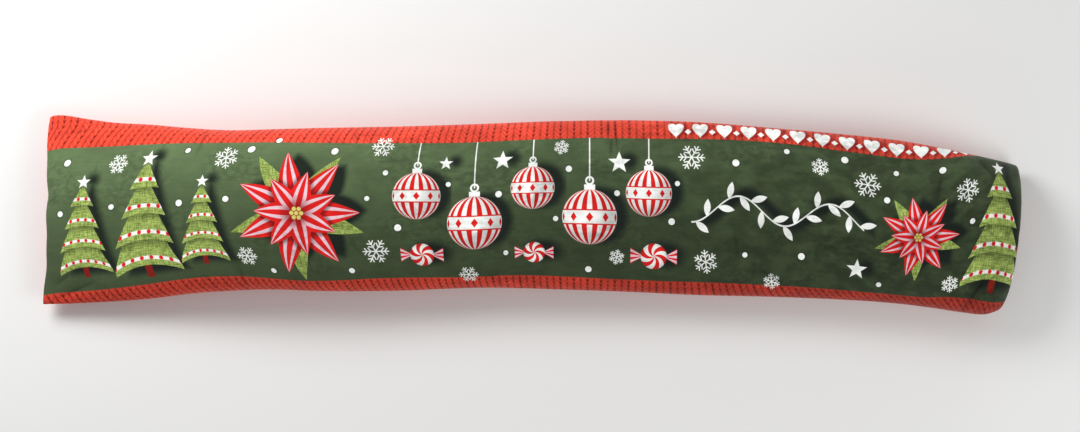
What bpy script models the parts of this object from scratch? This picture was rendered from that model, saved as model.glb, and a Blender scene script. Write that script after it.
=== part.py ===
"""Draught excluder: a long filled tube of printed cloth, sewn flat at each end, lying on its back.

The tables are in millimetres and the scene is in metres. X runs along the tube, +Y is the far
edge of its printed face and +Z is up. The origin is on the surface that the tube lies on, within
a millimetre of being under the middle of its bounding box.
"""

import math
from collections import namedtuple

import bmesh
import bpy
import numpy as np

MM = 0.001

# The tube from end to end. "along" is where a section's middle stands on X, "far" and "near" are
# its two edges on Y, "slant" is how far the far edge runs ahead of the near one, "thick" is the
# filled height, "lift" is the gap under its edges, "arch" raises its middle above its edges and
# "lean" is how far its crown runs ahead of its sides.
Section = namedtuple("Section", "along far near slant thick lift arch lean")
SECTIONS = (
    Section(-446.8, 91.8, -82.6, 7.4, 3.0, 11.0, 7.0, 0.0),
    Section(-434.5, 92.8, -81.8, 6.0, 13.0, 8.0, 5.0, 0.0),
    Section(-416.0, 90.4, -80.8, 4.5, 22.0, 5.0, 3.0, 0.0),
    Section(-388.0, 86.6, -79.7, 3.0, 32.0, 2.0, 1.0, 0.0),
    Section(-351.0, 83.8, -77.6, 1.5, 42.0, 0.0, 0.0, 0.0),
    Section(-314.0, 80.9, -72.7, 0.0, 51.0, 0.0, 0.0, 0.0),
    Section(-278.0, 78.3, -69.7, 0.0, 57.0, 0.0, 0.0, 0.0),
    Section(-241.0, 78.7, -67.8, 0.0, 59.0, 0.0, 0.0, 0.0),
    Section(-195.0, 81.0, -69.2, 0.0, 58.0, 0.0, 0.0, 0.0),
    Section(-121.0, 82.6, -69.6, 0.0, 55.0, 0.0, 0.0, 0.0),
    Section(-47.5, 85.1, -67.2, 0.0, 54.0, 0.0, 0.0, 0.0),
    Section(26.0, 86.9, -68.4, 0.0, 52.0, 0.0, 0.0, 0.0),
    Section(100.0, 87.6, -70.3, 1.0, 50.0, 0.0, 0.0, 0.0),
    Section(155.0, 85.6, -73.5, 2.0, 49.0, 0.0, 0.0, 0.0),
    Section(210.0, 82.1, -75.9, 4.0, 50.0, 0.0, 0.0, 0.0),
    Section(284.0, 75.3, -78.5, 8.0, 54.0, 0.0, 0.0, 0.0),
    Section(339.0, 68.7, -81.7, 12.0, 58.0, 0.0, 0.0, 0.0),
    Section(376.0, 61.3, -85.7, 14.0, 59.0, 0.0, 0.0, 1.0),
    Section(403.0, 55.7, -89.7, 14.0, 56.0, 0.0, 0.0, 5.0),
    Section(423.0, 51.3, -91.7, 13.0, 48.0, 0.0, 2.0, 10.0),
    Section(437.0, 48.2, -88.5, 13.0, 31.0, 1.0, 6.0, 12.0),
    Section(441.0, 46.7, -88.1, 18.0, 13.0, 2.5, 12.0, 6.0),
    Section(439.0, 44.6, -90.6, 23.0, 3.0, 4.0, 14.0, 0.0),
)

# Soft troughs in the printed face, each at a point and "turn" degrees round from X.
Trough = namedtuple("Trough", "x y length width turn depth")
TROUGHS = (
    Trough(374.0, 34.0, 42.0, 13.0, 84.0, 3.6),
    Trough(208.0, -48.0, 34.0, 12.0, 128.0, 3.0),
    Trough(74.0, 78.0, 24.0, 9.0, 88.0, 3.4),
    Trough(-250.0, 66.0, 46.0, 14.0, 62.0, 3.2),
    Trough(-286.0, -56.0, 52.0, 15.0, 124.0, 3.6),
    Trough(-128.0, -60.0, 40.0, 13.0, 78.0, 2.6),
    Trough(300.0, -66.0, 38.0, 13.0, 64.0, 3.0),
    Trough(-404.0, 62.0, 40.0, 11.0, 146.0, 2.4),
    Trough(-400.0, -56.0, 40.0, 11.0, 36.0, 2.4),
)

# How the filled cloth sits in section.
SIDE_SHARE = 0.42  # the widest point, as a share of the filled height
CROWN_POWER = 2.15  # 2 is an ellipse, and more is boxier
BASE_POWER = 2.6
BASE_SINK = 1.12  # the underside would bulge this much deeper than the floor lets it

# The cage: rings of cloth, closer together towards the two seams.
RINGS = 46
AROUND = 32
END_CROWDING = 0.55
SMOOTHING = 1
SEAM_CREASE = 0.7
CAGE_MARGIN = 1.3  # the smoothing draws the cage's sides in by this much
EAR_MARGIN = 4.0  # and the ends of its seams by this much
OUTLINE_STEPS = 720

# The print's colour blocks, in steps of the cage from the face's far edge.
BAND_STEPS = 2

GREEN = (0.068, 0.105, 0.048)
RED = (0.62, 0.075, 0.045)
CLOTH_ROUGHNESS = 0.85


def smooth(knots, values, at):
    """A cubic through the table's values, with no corner at a row."""
    slopes = np.gradient(values, knots)
    row = np.clip(np.searchsorted(knots, at) - 1, 0, len(knots) - 2)
    step = knots[row + 1] - knots[row]
    t = (at - knots[row]) / step
    start, end = values[row], values[row + 1]
    rise = 3 * t**2 - 2 * t**3
    bend_out = (t - 2 * t**2 + t**3) * step * slopes[row]
    bend_in = (t**3 - t**2) * step * slopes[row + 1]
    return start + (end - start) * rise + bend_out + bend_in


def cloth_lengths(table):
    """How far along the cloth each row lies, over the crown."""
    run = np.hypot(np.diff(table[:, 0] + table[:, -1]), np.diff(table[:, 4]))
    return np.concatenate([[0.0], np.cumsum(run)])


def all_sections():
    """One section for each ring of the cage, crowded towards the seams."""
    table = np.array(SECTIONS)
    knots = cloth_lengths(table)
    even = np.linspace(0.0, 1.0, RINGS)
    crowded = (1 - np.cos(math.pi * even)) / 2
    at = knots[-1] * (END_CROWDING * crowded + (1 - END_CROWDING) * even)
    columns = [smooth(knots, table[:, k], at) for k in range(table.shape[1])]
    sections = [Section(*row) for row in np.stack(columns, axis=1)]
    margins = [EAR_MARGIN] + [CAGE_MARGIN] * (RINGS - 2) + [EAR_MARGIN]
    return [
        section._replace(far=section.far + margin, near=section.near - margin)
        for section, margin in zip(sections, margins)
    ]


def half_outline(half_width, height, power):
    """The crown or the base of a section, from its far edge to its near one."""
    angle = np.linspace(0.0, math.pi, OUTLINE_STEPS)
    across, up = np.cos(angle), np.sin(angle)
    reach = (np.abs(across) ** power + np.abs(up) ** power) ** (-1 / power)
    return half_width * across * reach, height * up * reach


def evenly_spaced(y, z, steps):
    """The same line again, with its points an equal run of cloth apart."""
    run = np.concatenate([[0.0], np.cumsum(np.hypot(np.diff(y), np.diff(z)))])
    at = np.linspace(0.0, run[-1], steps + 1)
    return np.interp(at, run, y), np.interp(at, run, z)


def section_points(section):
    """The ring's points: over the crown from far to near, then back under the base."""
    half_width = (section.far - section.near) / 2
    side = SIDE_SHARE * section.thick
    y, z = half_outline(half_width, section.thick - side, CROWN_POWER)
    crown_y, crown_z = evenly_spaced(y, z + side, AROUND // 2)
    y, z = half_outline(half_width, side * BASE_SINK, BASE_POWER)
    base_y, base_z = evenly_spaced(y, np.maximum(side - z, 0.0), AROUND // 2)
    y = np.concatenate([crown_y, base_y[-2:0:-1]])
    z = np.concatenate([crown_z, base_z[-2:0:-1]])
    share = y / half_width
    x = section.along + section.slant / 2 * share
    x = x + section.lean * (z - side) / (section.thick - side)
    y = y + (section.far + section.near) / 2
    z = z + section.lift + section.arch * (1 - share**2)
    return np.stack([x, y, np.maximum(z, 0.0)], axis=1)


def trough_depth(x, y):
    """How deep the face is pressed in at each point, seen from above."""
    depth = np.zeros_like(x)
    for trough in TROUGHS:
        turn = math.radians(trough.turn)
        dx, dy = x - trough.x, y - trough.y
        down = (dx * math.cos(turn) + dy * math.sin(turn)) / trough.length
        across = (dy * math.cos(turn) - dx * math.sin(turn)) / trough.width
        depth += trough.depth * np.exp(-(down**2) - across**2)
    return depth


def press_troughs(points, section):
    """Sinks the crown's points into the filling, but not the sides."""
    crown = points[: AROUND // 2 + 1]
    across = np.cos(np.linspace(0.0, math.pi, len(crown)))
    depth = np.minimum(trough_depth(crown[:, 0], crown[:, 1]), section.thick / 4)
    crown[:, 2] -= depth * (1 - across**4)
    return points


def close_seam(mesh, ring, crease, band_faces):
    """Joins the crown to the base across an end, and keeps the edge round it firm."""
    half = AROUND // 2
    for step in range(half):
        crown = [ring[step], ring[step + 1]]
        base = [ring[-(step + 1) % AROUND], ring[-step % AROUND]]
        corners = list(dict.fromkeys(crown + base))
        band_faces.append(mesh.faces.new(corners))
    for step in range(AROUND):
        edge = mesh.edges.get((ring[step], ring[(step + 1) % AROUND]))
        edge[crease] = SEAM_CREASE


def is_green(step):
    """Whether the strip of cloth after this step belongs to the printed face's middle."""
    return BAND_STEPS <= step < AROUND // 2 - BAND_STEPS


def tube_mesh():
    """The filled tube as a cage of rings, closed at both seams."""
    mesh = bmesh.new()
    crease = mesh.edges.layers.float.new("crease_edge")
    rings = []
    for section in all_sections():
        points = press_troughs(section_points(section), section)
        rings.append([mesh.verts.new(point * MM) for point in points])
    band_faces = []
    for before, after in zip(rings, rings[1:]):
        for step in range(AROUND):
            following = (step + 1) % AROUND
            corners = (before[step], before[following], after[following], after[step])
            face = mesh.faces.new(corners)
            if not is_green(step):
                band_faces.append(face)
    for ring in (rings[0], rings[-1]):
        close_seam(mesh, ring, crease, band_faces)
    for face in mesh.faces:
        face.smooth = True
    for face in band_faces:
        face.material_index = 1
    bmesh.ops.recalc_face_normals(mesh, faces=mesh.faces)
    data = bpy.data.meshes.new("filled_tube")
    mesh.to_mesh(data)
    mesh.free()
    return data


def cloth(name, colour):
    """A matt cloth of one colour."""
    material = bpy.data.materials.new(name)
    material.use_nodes = True
    shader = material.node_tree.nodes["Principled BSDF"]
    shader.inputs["Base Color"].default_value = (*colour, 1.0)
    shader.inputs["Roughness"].default_value = CLOTH_ROUGHNESS
    shader.inputs["Metallic"].default_value = 0.0
    return material


def clear_scene():
    for thing in list(bpy.data.objects):
        bpy.data.objects.remove(thing, do_unlink=True)


def main():
    clear_scene()
    collection = bpy.data.collections.new("draught_excluder")
    bpy.context.scene.collection.children.link(collection)
    tube = bpy.data.objects.new("filled_tube", tube_mesh())
    collection.objects.link(tube)
    tube.data.materials.append(cloth("green_face", GREEN))
    tube.data.materials.append(cloth("red_bands", RED))
    rounding = tube.modifiers.new("rounding", "SUBSURF")
    rounding.levels = SMOOTHING
    rounding.render_levels = SMOOTHING


main()
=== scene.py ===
"""Draught excluder: the finished cloth of a long filled tube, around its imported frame.

Tables are in millimetres and the scene is in metres. X runs along the tube, +Y is the far edge of
its printed face and +Z is up. The print is laid out on the flat cloth, in millimetres: U runs
along it and V across it, from the middle of the green panel. A row that ramp() takes holds where
its value starts and ends, and then the results at both.
"""

import math
from collections import namedtuple
from functools import partial, reduce

import bmesh
import bpy
import numpy as np
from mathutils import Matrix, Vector


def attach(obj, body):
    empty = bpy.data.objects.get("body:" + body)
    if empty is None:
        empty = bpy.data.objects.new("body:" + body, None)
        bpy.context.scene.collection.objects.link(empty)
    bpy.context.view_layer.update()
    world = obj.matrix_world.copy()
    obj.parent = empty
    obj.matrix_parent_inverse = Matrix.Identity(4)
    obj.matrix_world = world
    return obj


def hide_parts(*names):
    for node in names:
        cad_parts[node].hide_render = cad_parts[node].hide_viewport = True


MM = 0.001
TUBE = "filled_tube"

# The tube from end to end, much as in the part's own source. "along" is where a section's middle
# stands on X, "far" and "near" are its two edges on Y, "slant" is how far the far edge runs ahead
# of the near one, "thick" is the filled height, "lift" is the gap under its edges, "arch" raises
# its middle above its edges and "lean" is how far its crown runs ahead of its sides.
Section = namedtuple("Section", "along far near slant thick lift arch lean")
SECTIONS = (
    Section(-448.9, 93.0, -83.8, 1.6, 1.0, 12.0, 7.0, 0.0),
    Section(-436.2, 94.2, -83.3, 1.4, 13.0, 8.0, 5.0, 0.0),
    Section(-416.0, 91.3, -82.2, 1.2, 22.0, 5.0, 3.0, 0.0),
    Section(-388.0, 87.2, -80.6, 0.8, 32.0, 2.0, 1.0, 0.0),
    Section(-351.0, 84.9, -77.6, 0.4, 42.0, 0.0, 0.0, 0.0),
    Section(-314.0, 81.8, -72.9, 0.0, 51.0, 0.0, 0.0, 0.0),
    Section(-278.0, 79.8, -70.4, 0.0, 57.0, 0.0, 0.0, 0.0),
    Section(-241.0, 80.6, -69.2, 0.0, 59.0, 0.0, 0.0, 0.0),
    Section(-195.0, 81.8, -70.6, 0.0, 58.0, 0.0, 0.0, 0.0),
    Section(-121.0, 83.2, -70.4, 0.0, 55.0, 0.0, 0.0, 0.0),
    Section(-47.5, 85.4, -67.9, 0.0, 54.0, 0.0, 0.0, 0.0),
    Section(26.0, 87.9, -69.6, 0.0, 52.0, 0.0, 0.0, 0.0),
    Section(100.0, 88.4, -72.2, 1.0, 50.0, 0.0, 0.0, 0.0),
    Section(155.0, 86.6, -74.7, 2.0, 49.0, 0.0, 0.0, 0.0),
    Section(210.0, 82.1, -75.9, 4.0, 50.0, 0.0, 0.0, 0.0),
    Section(284.0, 75.3, -78.5, 8.0, 54.0, 0.0, 0.0, 0.0),
    Section(339.0, 68.7, -81.7, 12.0, 58.0, 0.0, 0.0, 0.0),
    Section(376.0, 61.3, -85.7, 14.0, 59.0, 0.0, 0.0, 1.0),
    Section(403.0, 55.7, -89.7, 14.0, 56.0, 0.0, 0.0, 5.0),
    Section(423.0, 51.3, -91.7, 13.0, 48.0, 0.0, 2.0, 8.5),
    Section(436.0, 48.2, -88.5, 14.0, 31.0, 1.0, 6.0, 11.0),
    Section(439.0, 46.7, -88.1, 19.0, 13.0, 2.5, 12.0, 6.0),
    Section(437.0, 44.6, -90.6, 23.0, 1.0, 5.0, 14.0, 0.0),
)
SIDE_SHARE = 0.42  # the widest point, as a share of the filled height
CROWN_POWER = 2.15  # 2 is an ellipse, and more is boxier
BASE_POWER = 2.6
BASE_SINK = 1.12  # the underside would bulge this much deeper than the floor lets it

# Soft troughs in the printed face, each at a point and "turn" degrees round from X.
Trough = namedtuple("Trough", "x y length width turn depth")
TROUGHS = (
    Trough(374.0, 34.0, 42.0, 13.0, 84.0, 3.6),
    Trough(208.0, -48.0, 34.0, 12.0, 128.0, 3.0),
    Trough(74.0, 78.0, 24.0, 9.0, 88.0, 3.4),
    Trough(-250.0, 66.0, 46.0, 14.0, 62.0, 3.2),
    Trough(-286.0, -56.0, 52.0, 15.0, 124.0, 3.6),
    Trough(-128.0, -60.0, 40.0, 13.0, 78.0, 2.6),
    Trough(300.0, -66.0, 38.0, 13.0, 64.0, 3.0),
    Trough(-404.0, 62.0, 40.0, 11.0, 146.0, 2.4),
    Trough(-400.0, -56.0, 40.0, 11.0, 36.0, 2.4),
)

# The flat cloth and how the print lies on the tube. "roll" is how far the middle of the panel lies
# towards the near side of the crown, "stretch" is how much wider the pulled cloth shows the panel,
# and "drag" is how far the folds' cloth runs ahead of the crown's, where a seam holds it.
GIRTH = 346.0
Lie = namedtuple("Lie", "along roll stretch drag")
PRINT_LIE = (
    Lie(-450.0, 11.5, 1.03, 26.0),
    Lie(-360.0, 3.2, 0.99, 25.0),
    Lie(-278.0, -0.9, 0.955, 22.0),
    Lie(-213.0, 2.6, 1.0, 18.0),
    Lie(-121.0, 2.2, 0.965, 11.0),
    Lie(-57.0, 4.2, 0.97, 7.0),
    Lie(-10.0, 2.5, 0.97, 4.0),
    Lie(63.0, 2.3, 1.01, 0.0),
    Lie(110.0, 2.9, 1.02, 0.0),
    Lie(164.0, 1.4, 1.03, 0.0),
    Lie(247.0, 1.9, 1.02, 0.0),
    Lie(284.0, 3.7, 1.0, 0.0),
    Lie(360.0, 2.8, 1.0, 0.0),
    Lie(395.0, -6.3, 1.05, 0.0),
    Lie(413.0, -10.4, 1.115, 0.0),
    Lie(440.0, -11.2, 1.15, 0.0),
)
DRAG_REACH = 86.0  # how far from the panel's middle the cloth lies that is dragged in full
DRAG_POWER = 3

# The cloth as simulated: a grid of threads round and along, with a seam across each end.
RINGS = 190
AROUND = 80
HALF = AROUND // 2
CROWN_STEP = AROUND // 4  # the thread along the crown's middle
BACK_STEP = 3 * AROUND // 4  # the thread under the back's middle, where the cloth's edges meet
END_CROWDING = 0.35
OUTLINE_STEPS = 1440
SMOOTHING = 1
PUCKER_DEPTH = 0.9
PUCKER_REACH = 26.0  # how far from the seam they fade
PUCKER_PITCHES = (9.5, 14.0, 23.0)
PUCKER_SHIFT = 1.3  # sets their waves apart from end to end
SEAM_WAVER = 0.4  # how far the end seams waver along the tube
SHORT_WAVER, LONG_WAVER = 5.2, 8.7  # the run of cloth for each radian of its two waves
CORNER_REACH = 6.0
EAR_REACH = 17.0

# The two end seams. "phase" shifts a seam's waves, "corner" is how far its far corner is drawn in
# and "ear" is how far its near corner stands out.
End = namedtuple("End", "phase corner ear")
ENDS = (End(0.0, 2.6, 3.6), End(2.1, 0.6, 0.0))

# How the cloth settles over its filling.
SETTLE_FRAMES = 15
SETTLE_HOLD = 0.15  # how firmly the filling holds the cloth's shape
REST_HOLD = 0.4  # and the same where it lies on the floor
REST_HEIGHT = 3.0  # cloth lower than this lies on the floor
FLAT_LAYER = 0.5  # how far each layer of the flat, doubled cloth lies from the fold's height
MOST_SETTLING = 6.0
TINY = 1e-9
SETTLE_SETTINGS = {
    "pin_stiffness": 0.1,
    "quality": 4,
    "mass": 0.001,
    "tension_stiffness": 25.0,
    "compression_stiffness": 25.0,
    "shear_stiffness": 8.0,
    "bending_stiffness": 0.15,
    "use_pressure": True,
    "uniform_pressure_force": 0.8,
}

# Small sharp creases in the printed face, in the same columns as the soft troughs.
CREASES = (
    Trough(70.3, 79.0, 9.0, 2.4, 88.0, 1.6),
    Trough(77.3, 75.0, 13.0, 2.4, 94.0, 1.5),
    Trough(73.0, 64.0, 9.0, 2.6, 86.0, 1.2),
    Trough(-427.0, 83.0, 16.0, 2.6, 16.0, 0.8),
    Trough(-424.0, 76.0, 15.0, 2.6, 10.0, 0.6),
    Trough(-421.0, -69.0, 18.0, 3.2, 24.0, 1.2),
    Trough(-428.0, -56.0, 13.0, 3.0, 36.0, 0.9),
    Trough(-300.0, 70.0, 15.0, 3.2, 68.0, 0.8),
    Trough(-262.0, -60.0, 16.0, 3.2, 112.0, 0.8),
    Trough(-30.0, -62.0, 13.0, 3.0, 96.0, 0.8),
    Trough(187.0, -26.0, 12.0, 3.4, 100.0, 0.7),
    Trough(224.0, -58.0, 14.0, 3.4, 150.0, 0.7),
    Trough(372.0, 26.0, 13.0, 3.4, 78.0, 0.7),
    Trough(406.0, -70.0, 18.0, 3.4, 58.0, 1.2),
    Trough(422.0, -56.0, 16.0, 3.2, 40.0, 1.1),
    Trough(414.0, 46.0, 15.0, 3.2, 130.0, 1.0),
)

# The print. A stamp is a motif's place on the flat cloth and its size: a tree's foot and height, a
# flower's, a star's or a crystal's middle and reach, a bauble's or a sweet's middle and radius.
PANEL_HALF = 65.9
Stamp = namedtuple("Stamp", "u v size")
TREES = (
    Stamp(-416.0, -52.0, 84.0),
    Stamp(-357.0, -58.0, 108.0),
    Stamp(-301.5, -51.0, 76.0),
    Stamp(428.0, -57.0, 102.0),
)
FLOWERS = (Stamp(-214.0, -1.0, 59.0), Stamp(354.0, -8.0, 38.0))
BAUBLES = (
    Stamp(-105.0, 14.0, 22.0),
    Stamp(-52.0, -12.0, 25.0),
    Stamp(1.0, 19.0, 20.0),
    Stamp(53.0, -8.0, 25.0),
    Stamp(107.0, 15.0, 21.0),
)
SWEETS = (Stamp(-101.0, -42.0, 11.0), Stamp(2.0, -42.0, 10.0), Stamp(112.0, -42.0, 12.0))
STARS = (
    Stamp(-416.0, 34.0, 6.5),
    Stamp(-357.0, 52.0, 7.5),
    Stamp(-301.5, 27.5, 6.0),
    Stamp(428.0, 47.0, 7.0),
    Stamp(-27.0, 46.0, 9.5),
    Stamp(80.0, 42.0, 10.5),
    Stamp(-79.0, 45.0, 6.5),
    Stamp(300.0, -43.0, 10.0),
)
CRYSTALS = (
    Stamp(-386.0, 49.0, 9.0),
    Stamp(-283.0, 50.0, 11.0),
    Stamp(-262.0, -44.0, 9.0),
    Stamp(-140.0, 62.0, 10.5),
    Stamp(-143.0, -38.0, 12.0),
    Stamp(-60.0, -63.0, 9.0),
    Stamp(27.0, 57.0, 7.0),
    Stamp(78.0, -44.0, 7.0),
    Stamp(146.0, 48.0, 12.0),
    Stamp(160.0, -46.0, 11.0),
    Stamp(222.0, -62.0, 8.0),
    Stamp(262.0, 47.0, 8.0),
    Stamp(305.0, 36.0, 12.0),
    Stamp(396.0, 30.0, 11.0),
    Stamp(388.0, -53.0, 8.0),
)
DOTS = (  # each with its middle and radius
    (-437.0, 6.0, 2.6), (-436.0, 52.0, 3.0), (-388.0, 10.0, 2.5),
    (-323.0, 8.0, 3.1), (-322.0, 58.0, 2.4), (-279.0, 10.0, 2.8),
    (-262.0, 58.0, 3.3), (-241.0, -57.0, 2.4), (-240.0, 68.0, 2.7),
    (-184.0, 57.0, 3.2), (-168.0, -56.0, 2.7), (-150.0, 12.0, 2.3),
    (-134.0, 36.0, 2.5), (-122.0, -16.0, 3.2), (-76.0, 25.0, 2.3),
    (-30.0, 14.0, 3.0), (-24.0, -42.0, 2.3), (22.0, -10.0, 2.4),
    (34.0, 36.0, 2.9), (78.0, 14.0, 2.6), (52.0, -57.0, 3.0),
    (128.0, -10.0, 3.0), (133.0, 24.0, 2.3), (186.0, 44.0, 3.2),
    (196.0, -38.0, 2.4), (232.0, 58.0, 2.5), (248.0, -36.0, 3.1),
    (284.0, 57.0, 3.2), (322.0, -56.0, 2.5), (330.0, 50.0, 2.4),
    (372.0, 53.0, 3.2), (323.0, 24.0, 2.8), (402.0, 2.0, 2.4),
)

# Where the pile is brushed the other way, and looks darker, or lighter where "depth" is negative.
# The three that lie along creases, at 187, 224 and 372, are painted shade in those creases.
SMUDGES = (
    Trough(187.0, -22.0, 9.0, 6.0, 96.0, 0.08),
    Trough(180.0, -54.0, 7.0, 2.6, 8.0, 0.16),
    Trough(224.0, -58.0, 11.0, 3.4, 152.0, 0.12),
    Trough(206.0, -44.0, 16.0, 5.0, 14.0, -0.1),
    Trough(372.0, 22.0, 13.0, 4.4, 74.0, 0.17),
    Trough(384.0, 38.0, 12.0, 5.0, 40.0, -0.1),
    Trough(336.0, -30.0, 22.0, 6.0, 160.0, 0.1),
    Trough(262.0, 14.0, 30.0, 8.0, 8.0, -0.08),
    Trough(300.0, 60.0, 18.0, 5.0, 170.0, 0.12),
    Trough(82.0, 52.0, 9.0, 4.0, 78.0, 0.15),
    Trough(118.0, -16.0, 26.0, 7.0, 12.0, 0.08),
    Trough(22.0, 40.0, 20.0, 6.0, 150.0, 0.08),
    Trough(-30.0, -30.0, 26.0, 7.0, 6.0, -0.08),
    Trough(-78.0, -4.0, 18.0, 6.0, 60.0, 0.1),
    Trough(-152.0, 30.0, 16.0, 5.0, 120.0, 0.1),
    Trough(-262.0, 22.0, 20.0, 6.0, 30.0, 0.09),
    Trough(-330.0, -18.0, 22.0, 8.0, 20.0, 0.1),
    Trough(-392.0, -14.0, 18.0, 9.0, 160.0, 0.11),
    Trough(-386.0, 22.0, 22.0, 8.0, 10.0, -0.09),
    Trough(410.0, -20.0, 16.0, 5.0, 110.0, 0.12),
)
BRUSHED_AND_SHADE_TONES = (0.3, 1.3)  # the darkest and the lightest that the brushed pile and the painted shade may make the cloth
CREASE_SHADE = 0.36  # painted shade: how much darker the cloth is painted along a crease, for each millimetre of depth
MOST_CREASE_SHADE = 0.6
CREASE_SHARPNESS = 1.9  # how much narrower that painted dark line is than the crease
BACK_SEAM_DEPTH = 1.3
# Painted shade: BACK_SEAM_SHADE is how much darker the cloth is painted along the back seam's
# line.
BACK_SEAM_SHADE = 0.5
BACK_SEAM_SHARPNESS = 3
BACK_SEAM_PUCKERS = ((0.3, 2.9), (0.25, 4.7))  # the share and the run of each of its waves

# The garland: a wavy stem with leaves on both sides.
GARLAND_ENDS = (146.0, 304.0)
GARLAND_MIDDLE = 2.0
GARLAND_SWING = 12.0
GARLAND_WAVE = 84.0
STEM_HALF = 0.75
LEAF_PITCH = 20.0
LEAF_LENGTH = 15.5
LEAF_WIDTH = 3.0
LEAF_TILT = math.radians(50)
LEAF_ROOM = 4.0  # how far back from its foot a leaf may reach

# The row of hearts on the far band.
HEARTS_ENDS = (124.5, 448.0)
HEARTS_UP = 73.5
HEART_PITCH = 22.0
HEART_SIZE = 9.0
HEART_SHADOW_SHIFT = (2.8, -1.0)
HEART_SHADOW = (-1.5, 2.5, 0.75, 0.0)

# How often the motifs' own parts repeat.
LEAVES, PETALS, BERRIES = 5, 7, 6
CRYSTAL_ARMS = 6
SWEET_STRIPES = 6
TIERS = 4
TIERS_FOOT = 0.1  # how high a tree's lowest tier hangs, as a share of the tree
BAUBLE_STRIPES = 7.5  # on the half that shows
STAR_POINTS = 5
STAR_WAIST = 0.42  # how far the corners between a star's points are out, as a share of its reach
FAR_AWAY = 4096.0  # where the cloth that belongs to no stamp is sent

# The bands' printed stitches.
STITCH_WIDE, STITCH_HIGH = 12.8, 5.0
STITCH_RISE = 1.4  # how steeply a stitch's two legs rise, in stitch heights
STITCH_LEAN = (90.0, 330.0, 0.0, 0.8)  # how the near band's stitches lean over, along the cloth
NEAR_FOLD = -79.0  # where the near band turns under, and its stitch marks are drawn darkest: painted shade
STITCH_BOLDNESS = (12.0, 26.0, 1.6, 1.3)  # how dark the stitch marks are drawn, with the distance from that fold; the extra darkness near it is painted shade

# The soft dark shapes that the print shows beside its large motifs.
SHADOW_SHIFT = (9.0, 1.8)
SHADOW_SPREAD = 1.6
SHADOW_BLUR = 4.8
SHADOW_DEPTH = 0.92

# Painted light and shade on the print's ground and bands: their colour is scaled darker towards
# the +X end and the near side, and lighter on the far side, standing in for how the light and the
# pile's sheen fall there.
PANEL_SHADE_ALONG = (-420.0, 400.0, 1.2, 0.6)
PANEL_SHADE_ACROSS = (-40.0, 75.0, -0.26, 0.34)
PANEL_SHADE_FADE = (0.0, 400.0, 1.0, 0.5)
FAR_BAND_SHADE_ALONG = (-120.0, 400.0, 1.13, 0.95)
NEAR_BAND_SHADE_ALONG = (-120.0, 400.0, 0.97, 0.6)
BANDS_SHADE_ACROSS = (-70.0, 70.0, -0.5, 0.5)  # from the near band's tone to the far band's
BACK_SHADE_ACROSS = (90.0, 130.0, 1.0, 0.0)  # where the back begins, which has both in equal shares

# How uneven the pile is along the cloth: smooth at one end, and crushed in blotches at the other.
PILE_UNREST = (-350.0, 100.0, 0.5, 1.0)
CRUSHED_ALONG = (20.0, 280.0, 0.0, 1.0)
CRUSHED_TONES = (0.36, 0.64, -0.2, 0.14)

# The cloth's finish, the same all over, and how far its grain stands out, in metres.
CLOTH_FINISH = {
    "Roughness": 0.88,
    "Specular IOR Level": 0.25,
    "Sheen Weight": 0.2,
    "Sheen Roughness": 0.5,
}
GRAIN_STRENGTH = 0.35
GRAIN_HEIGHT = 0.0004

# The photo's scale and the camera, which looks straight down.
PHOTO_MM_PER_PX = 0.921
PHOTO_WIDTH_PX = 1080
CAMERA_LENS = 100.0
CAMERA_SENSOR = 36.0
CAMERA_OVER = (7.8, -0.5)  # what the middle of the view looks at
SILHOUETTE_HEIGHT = 25.0  # the height where that scale is true

# The studio, in metres and watts. A light is a rectangle of this size and faces its target.
Light = namedtuple("Light", "name place target size power")
LIGHTS = (
    Light("key", (-0.85, 0.8, 0.8), (-0.15, 0.0, 0.0), (0.8, 0.5), 13.7),
    Light("rim", (0.6, 1.25, 0.3), (0.14, 0.08, 0.03), (0.9, 0.4), 2.3),
    Light("side", (1.0, -0.5, 0.9), (0.3, 0.0, 0.0), (0.9, 0.7), 5.5),
    Light("fill", (-0.1, -1.3, 0.45), (-0.1, 0.0, 0.0), (1.4, 0.5), 2.2),
)
SKY_COLOUR = (1.0, 1.0, 1.0, 1.0)
SKY_STRENGTH = 0.235
FLOOR_WIDTH = 12.0
FLOOR_FINISH = {"Base Color": (0.86, 0.86, 0.85, 1.0), "Roughness": 0.9}


def smooth(knots, values, at):
    """A cubic through the table's values, with no corner at a row."""
    slopes = np.gradient(values, knots)
    row = np.clip(np.searchsorted(knots, at) - 1, 0, len(knots) - 2)
    step = knots[row + 1] - knots[row]
    t = (at - knots[row]) / step
    start, end = values[row], values[row + 1]
    rise = 3 * t**2 - 2 * t**3
    bend_out = (t - 2 * t**2 + t**3) * step * slopes[row]
    bend_in = (t**3 - t**2) * step * slopes[row + 1]
    return start + (end - start) * rise + bend_out + bend_in


def cloth_lengths(table):
    """How far along the cloth each row lies, over the crown."""
    run = np.hypot(np.diff(table[:, 0] + table[:, -1]), np.diff(table[:, 4]))
    return np.concatenate([[0.0], np.cumsum(run)])


def all_sections():
    """One section for each ring of the cloth, crowded towards the seams."""
    table = np.array(SECTIONS)
    knots = cloth_lengths(table)
    even = np.linspace(0.0, 1.0, RINGS)
    crowded = (1 - np.cos(math.pi * even)) / 2
    at = knots[-1] * (END_CROWDING * crowded + (1 - END_CROWDING) * even)
    columns = [smooth(knots, table[:, k], at) for k in range(table.shape[1])]
    return [Section(*row) for row in np.stack(columns, axis=1)]


def half_outline(half_width, height, power):
    """The crown or the base of a section, from its far edge to its near one."""
    angle = np.linspace(0.0, math.pi, OUTLINE_STEPS)
    across, up = np.cos(angle), np.sin(angle)
    reach = (np.abs(across) ** power + np.abs(up) ** power) ** (-1 / power)
    return half_width * across * reach, height * up * reach


def evenly_spaced(y, z, steps):
    """The same line again, with its points an equal run of cloth apart."""
    run = np.concatenate([[0.0], np.cumsum(np.hypot(np.diff(y), np.diff(z)))])
    at = np.linspace(0.0, run[-1], steps + 1)
    return np.interp(at, run, y), np.interp(at, run, z)


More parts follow.
